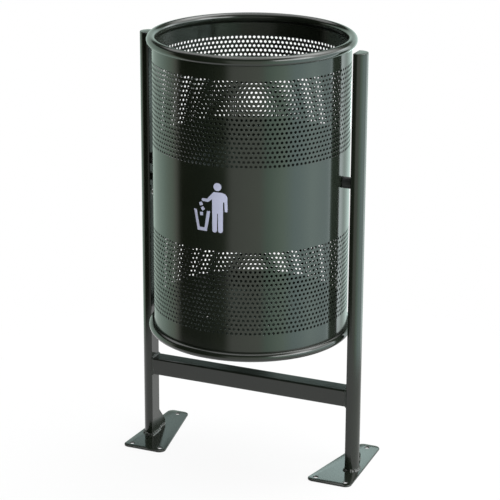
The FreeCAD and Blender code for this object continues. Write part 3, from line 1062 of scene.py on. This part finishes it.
@dataclass
class Studio:
    """Pale floor, pale backdrop and the far panels that light and mirror in the coat."""

    floor_radius: float = 0.95
    floor_z: float = -0.0003
    floor_fade: tuple[float, float] = (0.72, 0.99)     # shares of its radius between which it fades
    floor_tint: Colour = (0.06, 0.06, 0.06)
    floor_glow: float = 0.90
    backdrop: Colour = (1.0, 1.0, 1.0)
    panels: tuple[Softbox, ...] = (
        Softbox(112.0, 38.0, 6.0, 50.0, 2.4),
        Softbox(180.0, 95.0, 36.0, 64.0, 2.2),
        Softbox(0.0, 190.0, 64.0, 99.0, 2.4),
        Softbox(150.0, 32.0, 48.0, 76.0, 4.5),
        Softbox(72.0, 23.0, 12.0, 34.0, 8.0),
    )
    # what stands round the object low down: azimuth and the light's colour
    surround: tuple[tuple[float, Colour], ...] = (
        (-180.0, (1.05, 1.32, 1.24)), (-160.0, (0.70, 0.88, 0.80)), (-128.0, (0.75, 0.93, 0.82)),
        (-100.0, (0.98, 1.30, 1.10)),
        (-80.0, (1.00, 1.25, 1.00)), (-74.0, (0.90, 0.95, 0.80)), (-66.0, (0.03, 0.03, 0.01)),
        (-30.0, (0.01, 0.01, 0.00)), (-8.0, (0.08, 0.08, 0.05)), (1.0, (0.88, 0.90, 0.82)),
        (34.0, (0.98, 1.02, 0.90)), (42.0, (1.00, 1.40, 1.15)), (61.0, (1.60, 2.10, 1.75)),
        (75.0, (1.75, 2.30, 2.30)), (98.0, (2.15, 2.70, 2.60)), (116.0, (1.60, 2.00, 2.00)),
        (124.0, (1.40, 1.75, 1.78)), (131.0, (2.60, 3.00, 3.00)), (141.0, (3.30, 3.70, 3.70)),
        (152.0, (2.20, 2.50, 2.45)), (161.0, (0.95, 1.15, 1.05)), (180.0, (1.05, 1.32, 1.24)),
    )
    surround_end: tuple[float, float] = (17.0, 20.5)   # elevations between which it fades
    surround_above: float = 0.03                       # what is left of it above them
    # low cards behind, mirrored by the base plates: place and power
    cards: tuple[tuple[tuple[float, float, float], float], ...] = (
        ((-0.17, 1.0, 0.475), 0.54), ((-0.70, 1.0, 0.475), 0.21))
    card_size: tuple[float, float] = (0.40, 0.16)
    card_tint: Colour = (0.78, 1.0, 0.97)

    def floor(self) -> None:
        """Round floor whose edge fades out: rings of points about the bin's axis."""
        rings, count = 24, 96
        radius = self.floor_radius * np.linspace(0.0, 1.0, rings + 1)[1:]
        spoke = spokes(np.linspace(0.0, 2.0 * math.pi, count, endpoint=False))
        flat = radius[:, None, None] * spoke[None]
        points = np.concatenate([flat, np.full((rings, count, 1), self.floor_z)], 2).reshape(-1, 3)
        points = np.concatenate([points, [[0.0, 0.0, self.floor_z]]])
        ring = np.arange(count)
        centre = np.stack([ring, (ring + 1) % count, np.full(count, len(points) - 1)], 1)
        mesh = bpy.data.meshes.new("floor")
        mesh.from_pydata(points.tolist(), [], grid_quads(rings, count, False, True)[:, ::-1].tolist()
                         + centre.tolist())
        material, g = new_graph("pale_floor")
        at = g.place()
        length = g.out("ShaderNodeVectorMath", 1, {"operation": "LENGTH"}, {0: at})
        shine = g.out("ShaderNodeBsdfDiffuse", 0, {}, {"Color": g.blend(
            g.noise(at, 30.0), (*self.floor_tint, 1.0), (*(0.97 * c for c in self.floor_tint), 1.0))})
        glow = g.out("ShaderNodeEmission", 0, {},
                     {"Color": (1.0, 1.0, 1.0, 1.0), "Strength": self.floor_glow})
        pale = g.out("ShaderNodeAddShader", 0, {}, {0: shine, 1: glow})
        clear = g.out("ShaderNodeBsdfTransparent", 0, {}, {})
        fade = g.between(length, *(share * self.floor_radius for share in self.floor_fade))
        g.node("ShaderNodeOutputMaterial", {}, {0: g.out("ShaderNodeMixShader", 0, {},
                                                         {0: fade, 1: pale, 2: clear})})
        mesh.materials.append(material)
        linked("floor", mesh)

    def light(self) -> None:
        """World light by direction: the low surround and the soft panels; the camera sees the backdrop.

        With a direction (x, y, z), its azimuth is the angle whose tangent is x over -y, and its
        elevation the arcsine of z. A panel is a soft step in each.
        """
        world = bpy.data.worlds.new("studio")
        bpy.context.scene.world = world
        world.use_nodes = True
        g = Graph(world.node_tree)
        direction = g.out("ShaderNodeTexCoord", "Generated", {}, {})
        parts = g.node("ShaderNodeSeparateXYZ", {}, {0: direction})
        x, y, z = (Value(g, parts.outputs[k]) for k in range(3))
        azimuth = g.math("ARCTAN2", x, 0.0 - y)
        elevation = g.math("ARCSINE", z)
        top = max(max(colour) for _, colour in self.surround)
        stops = [((angle + 180.0) / 360.0, tuple(c / top for c in colour))
                 for angle, colour in self.surround]
        around = g.out("ShaderNodeValToRGB", 0, {"stops": stops}, {0: azimuth / (2.0 * math.pi) + 0.5})
        low_part = g.between(elevation, *(math.radians(end) for end in self.surround_end), top,
                             self.surround_above)
        total = g.out("ShaderNodeVectorMath", 0, {"operation": "SCALE"}, {0: around, "Scale": low_part})
        for panel in self.panels:
            soft, edge, low, high = (math.radians(angle) for angle in (
                panel.soft, panel.half_width, panel.low, panel.high))
            gap = self._gap(g, azimuth, math.radians(panel.azimuth))
            mask = g.between(gap, edge - soft, edge + soft, 1.0, 0.0)
            mask = mask * g.between(elevation, low - soft, low + soft)
            mask = mask * g.between(elevation, high - soft, high + soft, 1.0, 0.0)
            total = g.vector("ADD", total, g.out("ShaderNodeCombineXYZ", 0, {},
                                                 {k: mask * panel.power for k in range(3)}))
        lit = g.out("ShaderNodeBackground", 0, {}, {0: total, 1: 1.0})
        seen = g.out("ShaderNodeBackground", 0, {}, {0: (*self.backdrop, 1.0), 1: 1.0})
        camera_ray = g.out("ShaderNodeLightPath", "Is Camera Ray", {}, {})
        g.node("ShaderNodeOutputWorld", {}, {0: g.out("ShaderNodeMixShader", 0, {},
                                                      {0: camera_ray, 1: lit, 2: seen})})

    def low_cards(self) -> None:
        """The low cards behind the bin that the base plates mirror to the front."""
        for number, (place, power) in enumerate(self.cards):
            data = bpy.data.lights.new(f"low_card_{number}", "AREA")
            data.shape = "RECTANGLE"
            data.size, data.size_y = self.card_size
            data.energy = power
            data.color = self.card_tint
            card = linked(data.name, data)
            facing = Vector((0.0, place[1], place[2])).to_track_quat("Z", "Y")
            card.matrix_world = Matrix.Translation(place) @ facing.to_matrix().to_4x4()
            card.visible_camera = False

    @staticmethod
    def _gap(g: Graph, azimuth: Value, centre: float) -> Value:
        """Angle between an azimuth and a panel's middle, the short way round."""
        return g.math("ARCCOSINE", g.math("COSINE", azimuth - centre))

    def build(self) -> None:
        """Makes the floor and the light."""
        self.floor()
        self.light()
        self.low_cards()
        bpy.context.scene.view_settings.view_transform = "Standard"


@dataclass
class ViewPoint:
    """The camera: a long lens from the front right, tilted down, no shift."""

    azimuth: float = 23.5
    tilt: float = 18.6
    roll: float = 0.25
    aside: float = -0.0017       # sideways offset of the line of sight
    distance: float = 3.8        # level distance from the bin's axis
    aim_height: float = 0.428
    focal: float = 147.7         # of the lens, and the sensor's width, in millimetres
    sensor: float = 36.0

    def build(self) -> None:
        """Makes the camera and sets it as the scene's."""
        turn, tilt = math.radians(self.azimuth), math.radians(self.tilt)
        back = Vector((math.sin(turn) * math.cos(tilt), -math.cos(turn) * math.cos(tilt), math.sin(tilt)))
        right = Vector((math.cos(turn), math.sin(turn), 0.0))
        up = back.cross(right)
        data = bpy.data.cameras.new("view")
        data.lens, data.sensor_width = self.focal, self.sensor
        camera = linked("view", data)
        aim = Vector((0.0, 0.0, self.aim_height)) + right * self.aside
        place = aim + back * (self.distance / math.cos(tilt))
        axes = Matrix((right, up, back)).transposed().to_4x4()
        camera.matrix_world = (Matrix.Translation(place) @ axes
                               @ Matrix.Rotation(math.radians(self.roll), 4, "Z"))
        bpy.context.scene.camera = camera


def main() -> None:
    """Builds the finishes, the bin, the frame, the studio and the camera, in that order."""
    logging.basicConfig(level=logging.INFO, format="%(name)s: %(message)s", force=True)
    finishes = Finishes()
    finishes.dress_parts()
    BinBody().build(finishes)
    Feet().build(finishes)
    PostsAndBar().build(finishes)
    Studio().build()
    ViewPoint().build()


if __name__ == "__main__":
    main()
